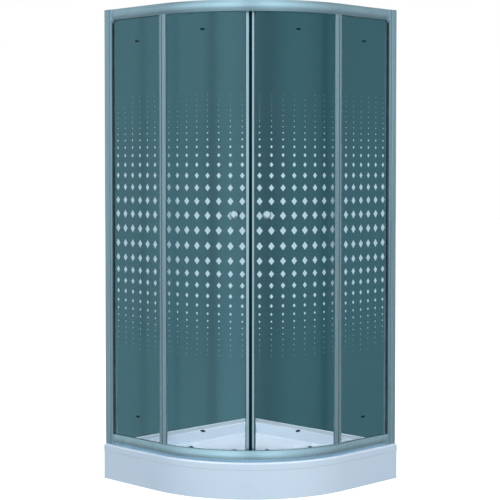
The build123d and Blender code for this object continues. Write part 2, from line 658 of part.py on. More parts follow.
with BuildPart() as upper_carriers_right:
    for t in ROLLER_TS.values():
        with BuildSketch(out_plane(t, 476.5, Z_UP)):
            Circle(15)
        extrude(amount=10.1)
        with BuildSketch(out_plane(t, 486.5, Z_UP)):
            Circle(5.9)
        extrude(amount=6)
        with BuildSketch(out_plane(t, 492.4, Z_UP)):
            Circle(6.4)
        extrude(amount=12.2)
    for t in ROLLER_TS.values():
        with BuildSketch(out_plane(t, 488.5, Z_UP)):
            Circle(AXLE_R + 0.02)
        extrude(amount=17, mode=Mode.SUBTRACT)
        # eccentric adjusting slot in the inner cap
        with BuildSketch(out_plane(t, 476.5, Z_UP)):
            Rectangle(14, 2.2)
            Circle(4)
        extrude(amount=2.5, mode=Mode.SUBTRACT)

with BuildPart() as lower_carriers_right:
    for t in ROLLER_TS.values():
        with BuildSketch(out_plane(t, 492.4, ZT + 25)):
            RectangleRounded(27, 28, 5)
        extrude(amount=7.6)
        with BuildSketch(out_plane(t, 500, Z_LOW)):
            Circle(4.4)
        extrude(amount=4.6)
        with BuildSketch(out_plane(t, 476.6, Z_CAP_LOW)):
            Circle(8)
            with Locations((0, -4)):
                RectangleRounded(30, 14, 5)
        extrude(amount=10)
        with BuildSketch(out_plane(t, 486, Z_CAP_LOW)):
            with Locations((-10, -4), (10, -4)):
                Circle(2.6)
        extrude(amount=7)
    for t in ROLLER_TS.values():
        with BuildSketch(out_plane(t, 476, Z_CAP_LOW)):
            Circle(BUTTON_R + 0.05)
        extrude(amount=10.8, mode=Mode.SUBTRACT)
        with BuildSketch(out_plane(t, 495, Z_LOW)):
            Circle(AXLE_R + 0.02)
        extrude(amount=12, mode=Mode.SUBTRACT)

with BuildPart() as roller_axles_right:
    for t in ROLLER_TS.values():
        for z, r0 in ((Z_UP, 489.0), (Z_LOW, 495.5)):
            with BuildSketch(out_plane(t, r0, z)):
                Circle(AXLE_R)
            extrude(amount=511.3 - r0)
            with BuildSketch(out_plane(t, 511.3, z)):
                Circle(4.6)
            extrude(amount=1.6)


def wheel_section(z, t):
    return section_plane(t, z)


with BuildPart() as upper_wheel_right_lead:
    with BuildSketch(out_plane(ROLLER_TS["lead"], R_WHEEL_PATH, Z_UP)):
        Circle(WHEEL_R)
        Circle(AXLE_R + 0.05, mode=Mode.SUBTRACT)
    extrude(amount=WHEEL_W)
    chamfer(upper_wheel_right_lead.edges().filter_by(GeomType.CIRCLE)
            .filter_by(lambda e: e.radius > 10), length=0.9)

with BuildPart() as upper_wheel_right_tail:
    with BuildSketch(out_plane(ROLLER_TS["tail"], R_WHEEL_PATH, Z_UP)):
        Circle(WHEEL_R)
        Circle(AXLE_R + 0.05, mode=Mode.SUBTRACT)
    extrude(amount=WHEEL_W)
    chamfer(upper_wheel_right_tail.edges().filter_by(GeomType.CIRCLE)
            .filter_by(lambda e: e.radius > 10), length=0.9)

with BuildPart() as lower_wheel_right_lead:
    with BuildSketch(out_plane(ROLLER_TS["lead"], R_WHEEL_PATH, Z_LOW)):
        Circle(WHEEL_R)
        Circle(AXLE_R + 0.05, mode=Mode.SUBTRACT)
    extrude(amount=WHEEL_W)
    chamfer(lower_wheel_right_lead.edges().filter_by(GeomType.CIRCLE)
            .filter_by(lambda e: e.radius > 10), length=0.9)

with BuildPart() as lower_wheel_right_tail:
    with BuildSketch(out_plane(ROLLER_TS["tail"], R_WHEEL_PATH, Z_LOW)):
        Circle(WHEEL_R)
        Circle(AXLE_R + 0.05, mode=Mode.SUBTRACT)
    extrude(amount=WHEEL_W)
    chamfer(lower_wheel_right_tail.edges().filter_by(GeomType.CIRCLE)
            .filter_by(lambda e: e.radius > 10), length=0.9)

with BuildPart() as release_button_right_lead:
    with BuildSketch(out_plane(ROLLER_TS["lead"], 473.4, Z_CAP_LOW)):
        Circle(BUTTON_R)
    extrude(amount=9.8)
    chamfer(release_button_right_lead.edges().filter_by(GeomType.CIRCLE), length=0.6)

with BuildPart() as release_button_right_tail:
    with BuildSketch(out_plane(ROLLER_TS["tail"], 473.4, Z_CAP_LOW)):
        Circle(BUTTON_R)
    extrude(amount=9.8)
    chamfer(release_button_right_tail.edges().filter_by(GeomType.CIRCLE), length=0.6)

# ------------------------------------------------------------- left-hand door
with BuildPart() as door_glass_left:
    mirror(door_glass_right.part, about=DIAGONAL)
with BuildPart() as door_lead_profile_left:
    mirror(door_lead_profile_right.part, about=DIAGONAL)
with BuildPart() as magnet_strip_left:
    mirror(magnet_plain.part, about=DIAGONAL)
with BuildPart() as door_tail_profile_left:
    mirror(door_tail_profile_right.part, about=DIAGONAL)
with BuildPart() as tail_seal_left:
    mirror(tail_seal_right.part, about=DIAGONAL)
with BuildPart() as drip_seal_left:
    mirror(drip_seal_right.part, about=DIAGONAL)
with BuildPart() as knob_outer_left:
    mirror(knob_outer_right.part, about=DIAGONAL)
with BuildPart() as knob_inner_left:
    mirror(knob_inner_right.part, about=DIAGONAL)
with BuildPart() as upper_carriers_left:
    mirror(upper_carriers_right.part, about=DIAGONAL)
with BuildPart() as lower_carriers_left:
    mirror(lower_carriers_right.part, about=DIAGONAL)
with BuildPart() as roller_axles_left:
    mirror(roller_axles_right.part, about=DIAGONAL)
with BuildPart() as upper_wheel_left_lead:
    mirror(upper_wheel_right_lead.part, about=DIAGONAL)
with BuildPart() as upper_wheel_left_tail:
    mirror(upper_wheel_right_tail.part, about=DIAGONAL)
with BuildPart() as lower_wheel_left_lead:
    mirror(lower_wheel_right_lead.part, about=DIAGONAL)
with BuildPart() as lower_wheel_left_tail:
    mirror(lower_wheel_right_tail.part, about=DIAGONAL)
with BuildPart() as release_button_left_lead:
    mirror(release_button_right_lead.part, about=DIAGONAL)
with BuildPart() as release_button_left_tail:
    mirror(release_button_right_tail.part, about=DIAGONAL)

# --------------------------------------------------------------------- export
save(tray_shell, "tray_shell")
save(rim_core, "rim_core")
save(apron_panel, "apron_panel")
save(apron_straps, "apron_straps")
save(tray_frame, "tray_frame")
save(tray_feet, "tray_feet")
save(foot_lock_nuts, "foot_lock_nuts")
save(waste_flange, "waste_flange")
save(waste_cover, "waste_cover")
save(waste_trap, "waste_trap")
save(bottom_rail, "bottom_rail")
save(top_rail, "top_rail")
save(rail_corner_caps, "rail_corner_caps")
save(wall_channel_right, "wall_channel_right")
save(wall_channel_left, "wall_channel_left")
save(jamb_right, "jamb_right")
save(jamb_left, "jamb_left")
save(stile_right, "stile_right")
save(stile_left, "stile_left")
save(fixed_glass_right, "fixed_glass_right")
save(fixed_glass_left, "fixed_glass_left")
save(fixed_gasket_right, "fixed_gasket_right")
save(fixed_gasket_left, "fixed_gasket_left")
save(jamb_screws, "jamb_screws")
save(door_stops, "door_stops")
save(door_glass_right, "door_glass_right")
save(door_lead_profile_right, "door_lead_profile_right")
save(magnet_strip_right, "magnet_strip_right")
save(door_tail_profile_right, "door_tail_profile_right")
save(tail_seal_right, "tail_seal_right")
save(drip_seal_right, "drip_seal_right")
save(knob_outer_right, "knob_outer_right")
save(knob_inner_right, "knob_inner_right")
save(upper_carriers_right, "upper_carriers_right")
save(lower_carriers_right, "lower_carriers_right")
save(roller_axles_right, "roller_axles_right")
save(upper_wheel_right_lead, "upper_wheel_right_lead")
save(upper_wheel_right_tail, "upper_wheel_right_tail")
save(lower_wheel_right_lead, "lower_wheel_right_lead")
save(lower_wheel_right_tail, "lower_wheel_right_tail")
save(release_button_right_lead, "release_button_right_lead")
save(release_button_right_tail, "release_button_right_tail")
save(door_glass_left, "door_glass_left")
save(door_lead_profile_left, "door_lead_profile_left")
save(magnet_strip_left, "magnet_strip_left")
save(door_tail_profile_left, "door_tail_profile_left")
save(tail_seal_left, "tail_seal_left")
save(drip_seal_left, "drip_seal_left")
save(knob_outer_left, "knob_outer_left")
save(knob_inner_left, "knob_inner_left")
save(upper_carriers_left, "upper_carriers_left")
save(lower_carriers_left, "lower_carriers_left")
save(roller_axles_left, "roller_axles_left")
save(upper_wheel_left_lead, "upper_wheel_left_lead")
save(upper_wheel_left_tail, "upper_wheel_left_tail")
save(lower_wheel_left_lead, "lower_wheel_left_lead")
save(lower_wheel_left_tail, "lower_wheel_left_tail")
save(release_button_left_lead, "release_button_left_lead")
save(release_button_left_tail, "release_button_left_tail")
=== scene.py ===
import bpy
import bmesh
import json
import math
import random
from mathutils import Matrix, Vector


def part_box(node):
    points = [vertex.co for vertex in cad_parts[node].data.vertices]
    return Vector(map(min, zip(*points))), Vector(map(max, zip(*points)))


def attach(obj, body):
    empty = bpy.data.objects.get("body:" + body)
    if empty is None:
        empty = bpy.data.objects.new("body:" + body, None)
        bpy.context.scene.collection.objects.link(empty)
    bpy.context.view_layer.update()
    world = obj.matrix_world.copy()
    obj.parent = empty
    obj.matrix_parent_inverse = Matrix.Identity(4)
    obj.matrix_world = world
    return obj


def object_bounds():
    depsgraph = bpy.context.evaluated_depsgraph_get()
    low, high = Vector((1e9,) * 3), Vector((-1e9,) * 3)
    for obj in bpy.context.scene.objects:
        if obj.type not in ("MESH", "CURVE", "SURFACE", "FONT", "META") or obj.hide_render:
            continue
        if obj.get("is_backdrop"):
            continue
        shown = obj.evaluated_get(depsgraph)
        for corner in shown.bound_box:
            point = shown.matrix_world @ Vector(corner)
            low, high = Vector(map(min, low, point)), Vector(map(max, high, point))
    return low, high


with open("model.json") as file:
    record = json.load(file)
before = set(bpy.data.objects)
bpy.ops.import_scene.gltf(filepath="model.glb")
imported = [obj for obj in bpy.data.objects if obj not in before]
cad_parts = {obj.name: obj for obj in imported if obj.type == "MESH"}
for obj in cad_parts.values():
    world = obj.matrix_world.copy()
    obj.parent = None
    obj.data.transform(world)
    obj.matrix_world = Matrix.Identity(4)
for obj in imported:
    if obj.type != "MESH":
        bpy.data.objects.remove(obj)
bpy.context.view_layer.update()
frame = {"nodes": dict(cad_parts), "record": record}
random.seed(11)
NODES = frame["nodes"]

# ------------------------------------------------------------------ dimensions (metres)
CX, CY = -0.100, 0.100            # centre of the front arc
R_GLASS = 0.492                   # outer face of the curved door glass
X_GLASS = 0.4315                  # outer face of the flat fixed glass
T0, T1 = math.radians(-43.595), math.radians(2.2)     # door glass from lead to trailing edge
Z_GLASS0, Z_GLASS1 = 0.162, 2.017
SIDES = ("right", "left")


def both(p):
    """mirror image of a point in the enclosure's own diagonal plane"""
    return (-p[1], -p[0], p[2])


# ------------------------------------------------------------------ node helpers
class Mat:
    """a Principled material with short ways to wire textures into it"""

    def __init__(self, name):
        self.m = bpy.data.materials.new(name)
        self.m.use_nodes = True
        self.nt = self.m.node_tree
        self.b = self.nt.nodes["Principled BSDF"]
        self._obj = None

    def node(self, kind, **props):
        n = self.nt.nodes.new(kind)
        for k, v in props.items():
            setattr(n, k, v)
        return n

    def link(self, a, b):
        self.nt.links.new(a, b)

    def set(self, **v):
        for k, x in v.items():
            self.b.inputs[k.replace("_", " ")].default_value = x
        return self

    def coords(self, scale=(1, 1, 1), rot=(0, 0, 0)):
        if self._obj is None:
            self._obj = self.node("ShaderNodeTexCoord").outputs["Object"]
        mp = self.node("ShaderNodeMapping")
        mp.inputs["Scale"].default_value = scale
        mp.inputs["Rotation"].default_value = rot
        self.link(self._obj, mp.inputs["Vector"])
        return mp.outputs["Vector"]

    def polar(self, scale=(1, 1, 1)):
        """(radius, arc length, height) round the front arc's axis, so grain follows the bent profiles"""
        if self._obj is None:
            self._obj = self.node("ShaderNodeTexCoord").outputs["Object"]
        sep = self.node("ShaderNodeSeparateXYZ")
        self.link(self._obj, sep.inputs[0])
        dx = self.math("SUBTRACT", sep.outputs[0], CX)
        dy = self.math("SUBTRACT", sep.outputs[1], CY)
        rad = self.math("SQRT", self.math("ADD", self.math("MULTIPLY", dx, dx), self.math("MULTIPLY", dy, dy)))
        ang = self.math("MULTIPLY", self.math("ARCTAN2", dy, dx), R_GLASS)
        com = self.node("ShaderNodeCombineXYZ")
        self.link(self.math("MULTIPLY", rad, scale[0]), com.inputs[0])
        self.link(self.math("MULTIPLY", ang, scale[1]), com.inputs[1])
        self.link(self.math("MULTIPLY", sep.outputs[2], scale[2]), com.inputs[2])
        return com.outputs[0]

    def math(self, op, a, b=None):
        n = self.node("ShaderNodeMath", operation=op)
        for i, v in enumerate((a, b)):
            if v is None:
                continue
            if isinstance(v, (int, float)):
                n.inputs[i].default_value = v
            else:
                self.link(v, n.inputs[i])
        return n.outputs[0]

    def noise(self, vec, scale, detail=3, rough=0.5):
        n = self.node("ShaderNodeTexNoise")
        n.inputs["Scale"].default_value = scale
        n.inputs["Detail"].default_value = detail
        n.inputs["Roughness"].default_value = rough
        self.link(vec, n.inputs["Vector"])
        return n.outputs["Fac"]

    def voronoi(self, vec, scale, feature="F1", out="Distance"):
        n = self.node("ShaderNodeTexVoronoi", feature=feature)
        n.inputs["Scale"].default_value = scale
        self.link(vec, n.inputs["Vector"])
        return n.outputs[out]

    def ramp(self, fac, a, b, lo=0.3, hi=0.7):
        """fac from lo..hi turned into colours a..b"""
        n = self.node("ShaderNodeValToRGB")
        n.color_ramp.elements[0].position, n.color_ramp.elements[1].position = lo, hi
        n.color_ramp.elements[0].color, n.color_ramp.elements[1].color = (*a, 1), (*b, 1)
        self.link(fac, n.inputs[0])
        return n.outputs["Color"]

    def span(self, fac, lo, hi, a=0.3, b=0.7):
        n = self.node("ShaderNodeMapRange")
        n.inputs["From Min"].default_value, n.inputs["From Max"].default_value = a, b
        n.inputs["To Min"].default_value, n.inputs["To Max"].default_value = lo, hi
        self.link(fac, n.inputs["Value"])
        return n.outputs[0]

    def bump(self, height, strength, distance, normal=None):
        n = self.node("ShaderNodeBump")
        n.inputs["Strength"].default_value = strength
        n.inputs["Distance"].default_value = distance
        self.link(height, n.inputs["Height"])
        if normal is not None:
            self.link(normal, n.inputs["Normal"])
        return n.outputs["Normal"]

    def bevel(self, radius, samples=4):
        n = self.node("ShaderNodeBevel", samples=samples)
        n.inputs["Radius"].default_value = radius
        return n.outputs["Normal"]

    def color(self, sock):
        self.link(sock, self.b.inputs["Base Color"])

    def rough(self, sock):
        self.link(sock, self.b.inputs["Roughness"])

    def normal(self, sock):
        self.link(sock, self.b.inputs["Normal"])


def lin(r, g, b):
    """sRGB 0..255 to linear"""
    return tuple(((c / 255 + 0.055) / 1.055) ** 2.4 if c > 10 else c / 255 / 12.92 for c in (r, g, b))


# ------------------------------------------------------------------ materials
def acrylic():
    k = Mat("acrylic_white")
    v = k.coords()
    cloud = k.noise(v, 3.0, 2)
    k.color(k.ramp(cloud, lin(208, 221, 239), lin(215, 227, 243)))
    fine = k.noise(v, 420.0, 2)
    k.rough(k.span(k.noise(v, 38.0, 4), 0.13, 0.21))
    k.set(Coat_Weight=0.12, Coat_Roughness=0.08, Specular_IOR_Level=0.40)
    k.normal(k.bump(fine, 0.05, 0.0004, k.bump(k.noise(v, 24.0, 2), 0.10, 0.002, k.bevel(0.0015))))
    return k.m


def aluminium(name, bent, tone=1.0):
    k = Mat(name)
    if bent:
        along = k.polar((1400.0, 7.0, 1400.0))
        broad = k.polar((60.0, 2.0, 60.0))
    else:
        along = k.coords((1400.0, 1400.0, 7.0))
        broad = k.coords((60.0, 60.0, 2.0))
    lines = k.noise(along, 1.0, 3, 0.6)
    cloud = k.noise(broad, 1.0, 2)
    a = [c * tone for c in lin(173, 205, 220)]
    b = [c * tone for c in lin(197, 227, 240)]
    k.color(k.ramp(k.math("ADD", k.math("MULTIPLY", lines, 0.55), k.math("MULTIPLY", cloud, 0.45)), a, b, 0.35, 0.65))
    k.rough(k.span(lines, 0.24, 0.36))
    k.set(Metallic=0.88)
    k.normal(k.bump(lines, 0.10, 0.0002, k.bevel(0.0008)))
    return k.m


def chrome():
    k = Mat("chrome_bright")
    v = k.coords()
    k.color(k.ramp(k.noise(v, 60.0, 2), lin(186, 205, 214), lin(204, 221, 229)))
    k.rough(k.span(k.noise(v, 240.0, 4), 0.04, 0.10))
    k.set(Metallic=1.0)
    k.normal(k.bump(k.noise(v, 500.0, 2), 0.02, 0.0002, k.bevel(0.0005)))
    return k.m


def glass():
    k = Mat("glass_tinted")
    k.set(Base_Color=(0.46, 0.57, 0.595, 1.0), Transmission_Weight=1.0, Roughness=0.0, IOR=1.2, Metallic=0.0)
    v = k.coords()
    k.normal(k.bump(k.noise(v, 5.0, 1), 0.02, 0.0005))
    return k.m


def print_enamel():
    k = Mat("print_white")
    v = k.coords()
    k.color(k.ramp(k.noise(v, 900.0, 3), lin(160, 182, 194), lin(178, 199, 211)))
    k.rough(k.span(k.noise(v, 500.0, 3), 0.38, 0.55))
    # emission: painted light, the print glows so that it stays bright where the frame shades it
    k.set(Emission_Color=(*lin(176, 200, 214), 1), Emission_Strength=0.22)
    k.normal(k.bump(k.noise(v, 1500.0, 2), 0.25, 0.0002))
    return k.m


def plastic(name, a, b, rough=(0.35, 0.5), grain=900.0, bump=0.15, **sets):
    k = Mat(name)
    v = k.coords()
    k.color(k.ramp(k.noise(v, 22.0, 3), a, b))
    k.rough(k.span(k.noise(v, 160.0, 3), *rough))
    k.normal(k.bump(k.noise(v, grain, 2), bump, 0.0002, k.bevel(0.0005)))
    k.set(**sets)
    return k.m


def clear_pvc():
    k = Mat("pvc_clear")
    v = k.coords((1, 1, 0.15))
    k.set(Base_Color=(0.78, 0.86, 0.88, 1.0), Transmission_Weight=0.75, IOR=1.45)
    k.rough(k.span(k.noise(v, 260.0, 3), 0.16, 0.30))
    k.normal(k.bump(k.noise(v, 500.0, 2), 0.12, 0.0002))
    return k.m


def galvanised():
    k = Mat("steel_galvanised")
    v = k.coords()
    cell = k.voronoi(v, 130.0, out="Color")
    bw = k.node("ShaderNodeRGBToBW")
    k.link(cell, bw.inputs[0])
    k.color(k.ramp(bw.outputs[0], lin(134, 143, 149), lin(186, 194, 198), 0.1, 0.9))
    k.rough(k.span(bw.outputs[0], 0.34, 0.58, 0.1, 0.9))
    k.set(Metallic=1.0)
    k.normal(k.bump(k.noise(v, 700.0, 3), 0.15, 0.0002, k.bevel(0.0006)))
    return k.m


def chipboard():
    k = Mat("board_chip")
    v = k.coords((1, 1, 2.4))
    chips = k.voronoi(v, 210.0, out="Color")
    bw = k.node("ShaderNodeRGBToBW")
    k.link(chips, bw.inputs[0])
    k.color(k.ramp(bw.outputs[0], lin(138, 106, 70), lin(208, 176, 132), 0.15, 0.85))
    k.rough(k.span(k.noise(v, 300.0, 3), 0.7, 0.9))
    k.normal(k.bump(bw.outputs[0], 0.35, 0.0006))
    return k.m


M = {
    "tray_acrylic": acrylic(),
    "core_board": chipboard(),
    "galvanised_steel": galvanised(),
    "foot_plastic": plastic("polyamide_black", lin(26, 28, 30), lin(42, 45, 48), (0.45, 0.6)),
    "chrome": chrome(),
    "trap_plastic": plastic("polypropylene_white", lin(214, 217, 216), lin(228, 230, 229), (0.4, 0.55)),
    "cap_plastic": plastic("cap_grey", lin(118, 146, 158), lin(132, 160, 171), (0.42, 0.56)),
    "safety_glass": glass(),
    "gasket_rubber": plastic("rubber_black", lin(42, 66, 74), lin(56, 82, 90), (0.55, 0.7), 600.0, 0.25),
    "magnet_rubber": plastic("rubber_magnet", lin(2, 26, 32), lin(8, 36, 43), (0.55, 0.7), 600.0, 0.2, Specular_IOR_Level=0.15),
    "clear_seal": clear_pvc(),
    "carrier_plastic": plastic("carrier_grey", lin(46, 66, 74), lin(60, 82, 90), (0.38, 0.5)),
    "wheel_plastic": plastic("acetal_white", lin(222, 226, 228), lin(234, 237, 238), (0.3, 0.42)),
    "button_plastic": plastic("button_grey", lin(84, 106, 114), lin(100, 122, 130), (0.22, 0.32)),
}
ALU_BENT = aluminium("aluminium_bent", True)
ALU_STRAIGHT = aluminium("aluminium_straight", False)
steel = Mat("steel_stainless")
sv = steel.coords()
steel.color(steel.ramp(steel.noise(sv, 90.0, 3), lin(168, 173, 177), lin(196, 200, 203)))
steel.rough(steel.span(steel.noise(sv, 400.0, 3), 0.22, 0.36))
steel.set(Metallic=1.0)
steel.normal(steel.bevel(0.0003))
M["steel_screws"] = steel.m
PRINT = print_enamel()
MARK = plastic("mark_dark", lin(12, 30, 36), lin(20, 42, 48), (0.5, 0.6), Specular_IOR_Level=0.2)

SLOT = {s["node"]: s["material_slot"] for s in frame["record"]["subparts"]}
BENT = {"bottom_rail", "top_rail"}
for name, ob in NODES.items():
    slot = SLOT[name]
    if slot == "frame_aluminium":
        mat = ALU_BENT if name in BENT else ALU_STRAIGHT
    else:
        mat = M[slot]
    ob.data.materials.clear()
    ob.data.materials.append(mat)
    for p in ob.data.polygons:
        p.material_index = 0
    if slot == "safety_glass":
        ob.visible_shadow = False


# ------------------------------------------------------------------ mesh helpers
def make(name, bm, mat, body, smooth=False):
    bmesh.ops.recalc_face_normals(bm, faces=bm.faces)
    me = bpy.data.meshes.new(name)
    bm.to_mesh(me)
    bm.free()
    ob = bpy.data.objects.new(name, me)
    bpy.context.scene.collection.objects.link(ob)
    me.materials.append(mat)
    for p in me.polygons:
        p.use_smooth = smooth
    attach(ob, body)
    return ob


def on_door(side):
    """(arc angle, height, height above the outer face) to a point on that side's door glass"""
    def f(t, z, h):
        r = R_GLASS + h
        p = (CX + r * math.cos(t), CY + r * math.sin(t), z)
        return p if side == "right" else both(p)
    return f


def on_fixed(side):
    def f(y, z, h):
        p = (X_GLASS + h, y, z)
        return p if side == "right" else both(p)
    return f


# ------------------------------------------------------------------ printed rhombs
PITCH = 0.0488                 # between columns
PITCH_FIXED = 0.0479
NUDGE = {-1: -0.0025, -2: -0.0045, -3: -0.0025}
ROWS_UP, ROWS_DOWN = 16, 14    # above and below the row of the largest rhombs
Z_BIG = 1.091
BIG_W, BIG_H = 0.0268, 0.0348
INK = 0.00025


def row_heights():
    """heights of the rows: they crowd together away from the largest row"""
    def gap(q):
        return 0.0211 + 0.0401 * math.exp(-(q / 6.11) ** 2)
    up, down = [Z_BIG], [Z_BIG]
    for k in range(ROWS_UP):
        up.append(up[-1] + gap(k + 0.5))
    for k in range(ROWS_DOWN):
        down.append(down[-1] - gap(k + 0.5))
    return [(k, z) for k, z in enumerate(up)] + [(-k, z + NUDGE.get(-k, 0)) for k, z in enumerate(down) if k]


def share(k):
    return 0.085 + 0.915 * math.exp(-(abs(k) / 6.5) ** 2)


def rhomb(bm, f, u, du, z, dz, bend):
    """one printed rhomb, as a thin plate; bend divides it so that it follows the curved glass"""
    n = 3 if bend and dz > 0.006 else 1
    ring = []
    for i in range(n):
        ring.append((u + du * i / n, z + dz * (1 - i / n)))
    for i in range(n):
        ring.append((u + du * (1 - i / n), z - dz * i / n))
    for i in range(n):
        ring.append((u - du * i / n, z - dz * (1 - i / n)))
    for i in range(n):
        ring.append((u - du * (1 - i / n), z + dz * i / n))
    top = [bm.verts.new(f(a, b, INK)) for a, b in ring]
    low = [bm.verts.new(f(a, b, 0.00003)) for a, b in ring]
    count = len(ring)
    if n == 1:
        bm.faces.new(top)
        bm.faces.new(low[::-1])
    else:
        # vertical strips, so that every face is nearly flat on the bend
        for ringv, flip in ((top, False), (low, True)):
            t, r, b, l = 0, n, 2 * n, 3 * n
            for i in range(n):
                pairs = [
                    (ringv[(t + i) % count], ringv[(t + i + 1) % count], ringv[(b - i - 1) % count], ringv[(b - i) % count]),
                    (ringv[(t - i) % count], ringv[(t - i - 1) % count], ringv[(b + i + 1) % count], ringv[(b + i) % count]),
                ]
                for q in pairs:
                    seen = []
                    for v in q:
                        if v not in seen:
                            seen.append(v)
                    if len(seen) >= 3:
                        bm.faces.new(seen if not flip else seen[::-1])
    for i in range(count):
        bm.faces.new((top[i], top[(i + 1) % count], low[(i + 1) % count], low[i]))


for side in SIDES:
    bm = bmesh.new()
    f = on_door(side)
    step = PITCH / R_GLASS
    mid = math.radians(-20.80 if side == "right" else -21.22)
    for c in range(8):
        t = mid + (c - 3.5) * step
        for k, z in row_heights():
            s = share(k)
            rhomb(bm, f, t, BIG_W * s / 2 / R_GLASS, z, BIG_H * s / 2, True)
    make(f"door_print_{side}", bm, PRINT, f"door_{side}")
    bm = bmesh.new()
    f = on_fixed(side)
    for c in range(6):
        y = 0.2505 + (c - 2.5) * PITCH_FIXED
        for k, z in row_heights():
            s = share(k)
            rhomb(bm, f, y, BIG_W * s / 2, z, BIG_H * s / 2, False)
    make(f"fixed_print_{side}", bm, PRINT, "enclosure")


# ------------------------------------------------------------------ plain oval marks near the panes' ends
def oval(bm, f, u, z, a, b, scale_u, h0, h1, n=40):
    top, low = [], []
    for i in range(n):
        w = 2 * math.pi * i / n
        top.append(bm.verts.new(f(u + a * math.cos(w) * scale_u, z + b * math.sin(w), h1)))
        low.append(bm.verts.new(f(u + a * math.cos(w) * scale_u, z + b * math.sin(w), h0)))
    bm.faces.new(top)
    bm.faces.new(low[::-1])
    for i in range(n):
        bm.faces.new((top[i], top[(i + 1) % n], low[(i + 1) % n], low[i]))


for side in SIDES:
    bm = bmesh.new()
    for z in (1.9136, 0.263):
        oval(bm, on_door(side), math.radians(-21.5), z, 0.0115, 0.0046, 1 / R_GLASS, 0.00003, 0.0006)
    make(f"door_marks_{side}", bm, MARK, f"door_{side}")
    bm = bmesh.new()
    for z in (1.880, 0.291):
        oval(bm, on_fixed(side), 0.244, z, 0.0125, 0.0046, 1.0, 0.00003, 0.0006)
    make(f"fixed_marks_{side}", bm, MARK, "enclosure")

# ------------------------------------------------------------------ dark rubber glazing beads; their dark strips also paint the shade in the grooves and seams they lie along
Z_RAIL0, Z_RAIL1 = 0.196, 1.979            # between the two rails


def strip(name, section, z0, z1, side, body, slot="gasket_rubber"):
    """straight bead: section is a ring of (x, y) points of the right-hand side"""
    bm = bmesh.new()
    rings = []
    for z in (z0, z1):
        rings.append([bm.verts.new((x, y, z) if side == "right" else both((x, y, z))) for x, y in section])
    n = len(section)
    bm.faces.new(rings[0])
    bm.faces.new(rings[1][::-1])
    for i in range(n):
        bm.faces.new((rings[0][i], rings[0][(i + 1) % n], rings[1][(i + 1) % n], rings[1][i]))
    return make(name, bm, M[slot], body)


def rounded(cx, cy, w, h, r, n=4):
    pts = []
    for sx, sy, a0 in ((1, 1, 0), (-1, 1, 90), (-1, -1, 180), (1, -1, 270)):
        for i in range(n + 1):
            a = math.radians(a0 + 90 * i / n)
            pts.append((cx + sx * (w / 2 - r) + r * math.cos(a), cy + sy * (h / 2 - r) + r * math.sin(a)))
    return pts


for side in SIDES:
    # dark beads in the stile's groove and on the jamb's leg: rubber, and also painted shade of the groove and along
    # the jamb
    strip(f"stile_bead_shade_{side}", rounded(0.4341, 0.0860, 0.0011, 0.0046, 0.0004), Z_RAIL0, Z_RAIL1, side, "enclosure")
    strip(f"jamb_bead_shade_{side}", rounded(0.4369, 0.4185, 0.0008, 0.0020, 0.0003), 0.151, 2.024, side, "enclosure")
    # glazing wedge in front of the jamb's inner leg, and the dark lip on its outer face, which also paints shade over
    # the jamb's rounded edge
    strip(f"jamb_wedge_{side}", rounded(0.4200, 0.3997, 0.0104, 0.0022, 0.0008), Z_RAIL0, Z_RAIL1, side, "enclosure", "cap_plastic")
    strip(f"jamb_lip_shade_{side}", rounded(0.4348, 0.4018, 0.0058, 0.0042, 0.0008), Z_RAIL0, Z_RAIL1, side, "enclosure")
    # dark glazing lip on the face of each leading profile, along the diagonal and across it; it also paints the shade
    # on the inner edge of the profile's face
    low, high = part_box(f"door_lead_profile_{side}")
    a, b = (14.6, 20.8) if side == "right" else (17.7, 20.8)
    face = [(CX + (x + y) / math.sqrt(2), CY + (y - x) / math.sqrt(2))
            for x, y in rounded(0.4965, (a + b) / 2000, 0.0008, (b - a) / 1000, 0.0003)]
    strip(f"lead_bead_shade_{side}", face, low[2] + 0.0005, high[2] - 0.0005, side, f"door_{side}")

# ------------------------------------------------------------------ stage: floor, the two dark wall cards, lights
bm = bmesh.new()
bmesh.ops.create_circle(bm, cap_ends=True, radius=30.0, segments=96)
me = bpy.data.meshes.new("floor")
bm.to_mesh(me)
bm.free()
floor = bpy.data.objects.new("floor", me)
floor.location = (0, 0, -0.0005)
bpy.context.scene.collection.objects.link(floor)
k = Mat("floor_pale")
k.set(Base_Color=(0.80, 0.80, 0.80, 1), Roughness=0.9, Specular_IOR_Level=0.1)
k.set(Emission_Color=(1, 1, 1, 1), Emission_Strength=0.75)
me.materials.append(k.m)
floor.visible_glossy = floor.visible_diffuse = False
floor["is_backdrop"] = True


def card(name, corners, base, along, painted_shade_bands):
    """dark wall behind the glass, lit by its own emission and seen only through it: each band is (place in metres,
    half width, factor); a factor below 1 paints a shadow of the frame on the wall, above 1 a lighter patch of painted
    light
    """
    me = bpy.data.meshes.new(name)
    me.from_pydata(corners, [], [(0, 1, 2, 3)])
    ob = bpy.data.objects.new(name, me)
    bpy.context.scene.collection.objects.link(ob)
    k = Mat(name)
    soft = k.span(k.noise(k.coords((0.6, 0.6, 0.25)), 2.2, 2), 0.92, 1.08)
    sep = k.node("ShaderNodeSeparateXYZ")
    k.link(k._obj, sep.inputs[0])
    # each band multiplies the glow: painted shadow where the factor is below 1, painted light where it is above
    for place, width, factor in painted_shade_bands:
        d = k.math("DIVIDE", k.math("SUBTRACT", sep.outputs[along], place), width)
        bell = k.math("EXPONENT", k.math("MULTIPLY", k.math("MULTIPLY", d, d), -1.0))
        soft = k.math("MULTIPLY", soft, k.math("ADD", k.math("MULTIPLY", bell, factor - 1.0), 1.0))
    out = k.node("ShaderNodeEmission")
    out.inputs["Color"].default_value = (*base, 1)
    k.link(soft, out.inputs["Strength"])
    k.link(out.outputs[0], k.nt.nodes["Material Output"].inputs["Surface"])
    me.materials.append(k.m)
    for flag in ("camera", "diffuse", "shadow", "volume_scatter"):
        setattr(ob, f"visible_{flag}", False)
    ob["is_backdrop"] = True
    return ob
